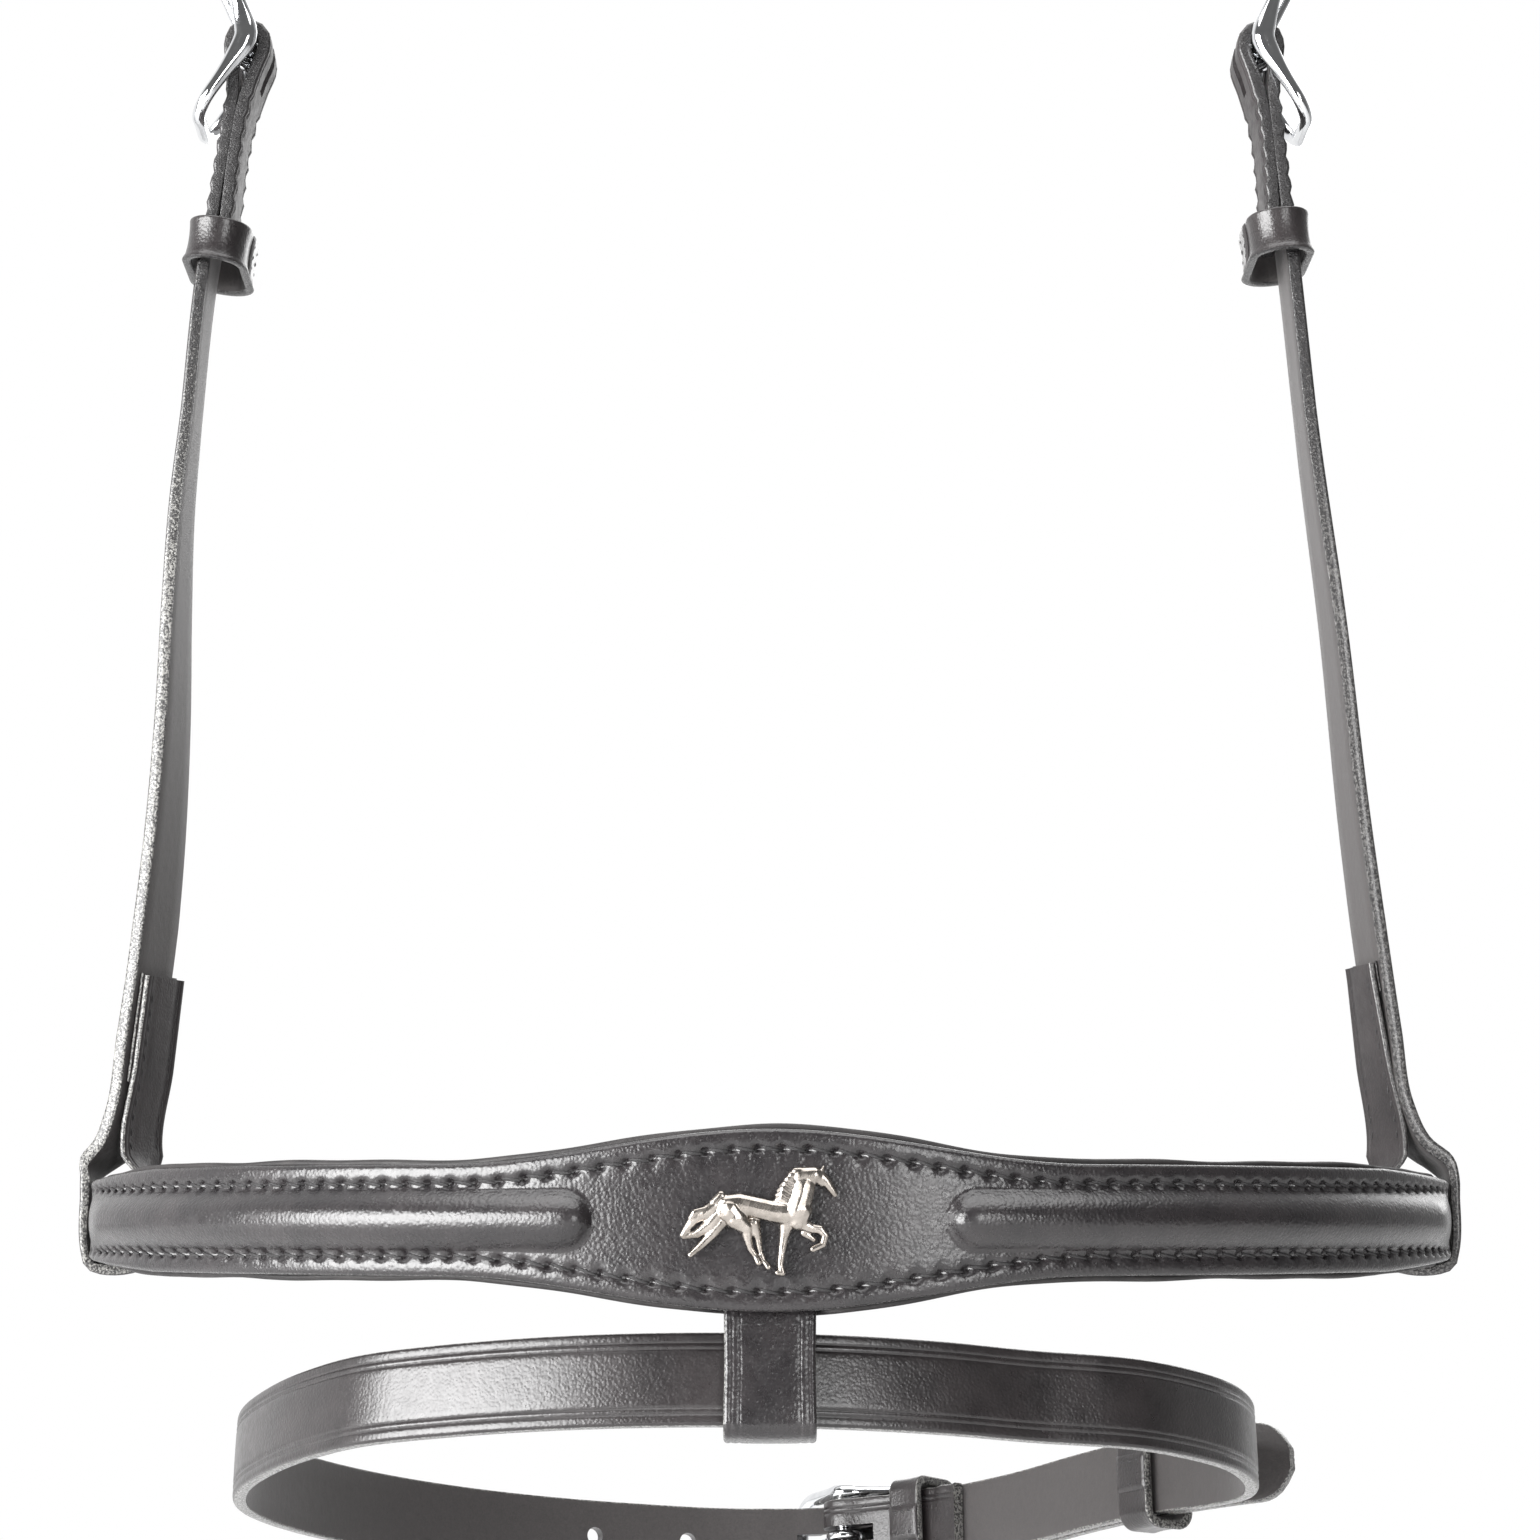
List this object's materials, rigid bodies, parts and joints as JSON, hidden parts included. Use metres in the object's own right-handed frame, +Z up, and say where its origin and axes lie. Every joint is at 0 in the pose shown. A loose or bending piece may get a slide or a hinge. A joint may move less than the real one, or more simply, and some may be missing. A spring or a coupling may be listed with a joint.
{
  "type": "bridle noseband",
  "caption": "Padded raised noseband of a bridle with flash strap, cheek straps with buckles and keepers, and a small metal horse on the front.",
  "frame": {"origin": "middle of the nose band's lining, on its inner face, where it lies on the nose", "axes": "+X to the right in the picture, +Y back towards the chin, +Z up along the cheek straps"},
  "size_m": [0.2224, 0.1827, 0.2809],
  "materials": {
    "panel_leather": "dark brown-black bridle leather, fine grain, satin",
    "strap_leather": "dark brown-black bridle leather, fine grain, satin",
    "cheek_leather": "dark brown-black bridle leather, fine grain, satin",
    "lining_leather": "soft dark leather, matt",
    "foam": "dark felt or foam, hidden",
    "roll_cord": "cord, hidden",
    "chrome": "bright plated",
    "nickel": "polished, slightly warm"
  },
  "bodies": {
    "nose_band": {"nose_panel": "panel_leather", "roll_core_left": "roll_cord", "roll_core_right": "roll_cord", "nose_padding": "foam", "nose_lining": "lining_leather", "horse_ornament": "nickel", "chin_strap_left": "strap_leather", "chin_strap_right": "strap_leather", "chin_keeper_fixed": "strap_leather"},
    "cheek_left": {"cheek_strap_left": "cheek_leather", "cheek_filler_left": "cheek_leather"},
    "cheek_keeper_left": {"cheek_keeper_left": "cheek_leather"},
    "cheek_buckle_left": {"cheek_buckle_left": "chrome"},
    "cheek_tongue_left": {"cheek_tongue_left": "chrome"},
    "cheek_right": {"cheek_strap_right": "cheek_leather", "cheek_filler_right": "cheek_leather"},
    "cheek_keeper_right": {"cheek_keeper_right": "cheek_leather"},
    "cheek_buckle_right": {"cheek_buckle_right": "chrome"},
    "cheek_tongue_right": {"cheek_tongue_right": "chrome"},
    "flash_loop": {"flash_loop": "strap_leather"},
    "flash_strap": {"flash_strap": "strap_leather", "flash_keeper_fixed": "strap_leather"},
    "flash_keeper_running": {"flash_keeper_running": "strap_leather"},
    "chin_keeper_running": {"chin_keeper_running": "strap_leather"},
    "flash_buckle": {"flash_buckle": "chrome", "flash_tongue": "chrome"},
    "chin_buckle": {"chin_buckle": "chrome", "chin_tongue": "chrome"}
  },
  "joints": [
    {"name": "cheek_left_swing", "type": "hinge", "parent": "nose_band", "child": "cheek_left", "pos_m": [-0.10543, 0.07472, 0], "axis": [0.1045, -0.9945, 0], "range_deg": [-2, 1.2]},
    {"name": "cheek_keeper_left_slide", "type": "slide", "parent": "cheek_left", "child": "cheek_keeper_left", "axis": [0.1281, 0.0135, 0.9917], "range_m": [-0.03, 0.004]},
    {"name": "cheek_buckle_left_turn", "type": "hinge", "parent": "cheek_left", "child": "cheek_buckle_left", "pos_m": [-0.0888, 0.07646, 0.1975], "axis": [-0.0703, 0.9975, -0.0045], "range_deg": [-10, 30]},
    {"name": "cheek_tongue_left_lift", "type": "hinge", "parent": "cheek_buckle_left", "child": "cheek_tongue_left", "pos_m": [-0.0888, 0.07646, 0.1975], "axis": [0.0703, -0.9975, 0.0045], "range_deg": [0, 90]},
    {"name": "cheek_right_swing", "type": "hinge", "parent": "nose_band", "child": "cheek_right", "pos_m": [0.10543, 0.07472, 0], "axis": [0.1045, 0.9945, 0], "range_deg": [-2, 1.2]},
    {"name": "cheek_keeper_right_slide", "type": "slide", "parent": "cheek_right", "child": "cheek_keeper_right", "axis": [-0.0849, 0.0089, 0.9963], "range_m": [-0.02, 0.004]},
    {"name": "cheek_buckle_right_turn", "type": "hinge", "parent": "cheek_right", "child": "cheek_buckle_right", "pos_m": [0.0834, 0.07703, 0.1975], "axis": [-0.0354, -0.9994, 0.0059], "range_deg": [-10, 30]},
    {"name": "cheek_tongue_right_lift", "type": "hinge", "parent": "cheek_buckle_right", "child": "cheek_tongue_right", "pos_m": [0.0834, 0.07703, 0.1975], "axis": [0.0354, 0.9994, -0.0059], "range_deg": [0, 90]},
    {"name": "flash_loop_swing", "type": "hinge", "parent": "nose_band", "child": "flash_loop", "pos_m": [0, -0.0025, -0.0123], "axis": [1, 0, 0], "range_deg": [-6, 4]},
    {"name": "flash_strap_slide", "type": "hinge", "parent": "flash_loop", "child": "flash_strap", "pos_m": [-0.008, 0.08117, -0.04176], "axis": [0, 0.2385, 0.9711], "range_deg": [-12, 12]},
    {"name": "flash_buckle_turn", "type": "hinge", "parent": "flash_strap", "child": "flash_buckle", "pos_m": [0.01348, 0.14425, -0.05674], "axis": [0, -0.2385, -0.9711], "range_deg": [-2, 2]},
    {"name": "flash_keeper_slide", "type": "slide", "parent": "flash_strap", "child": "flash_keeper_running", "axis": [-0.5534, 0.8024, -0.2236], "range_m": [-0.001, 0.015]},
    {"name": "chin_buckle_turn", "type": "hinge", "parent": "nose_band", "child": "chin_buckle", "pos_m": [0.05303, 0.15806, 0], "axis": [0, 0, -1], "range_deg": [-2, 2]},
    {"name": "chin_keeper_slide", "type": "hinge", "parent": "nose_band", "child": "chin_keeper_running", "pos_m": [0, 0.0662, 0], "axis": [0, 0, 1], "range_deg": [-5, 8]}
  ]
}
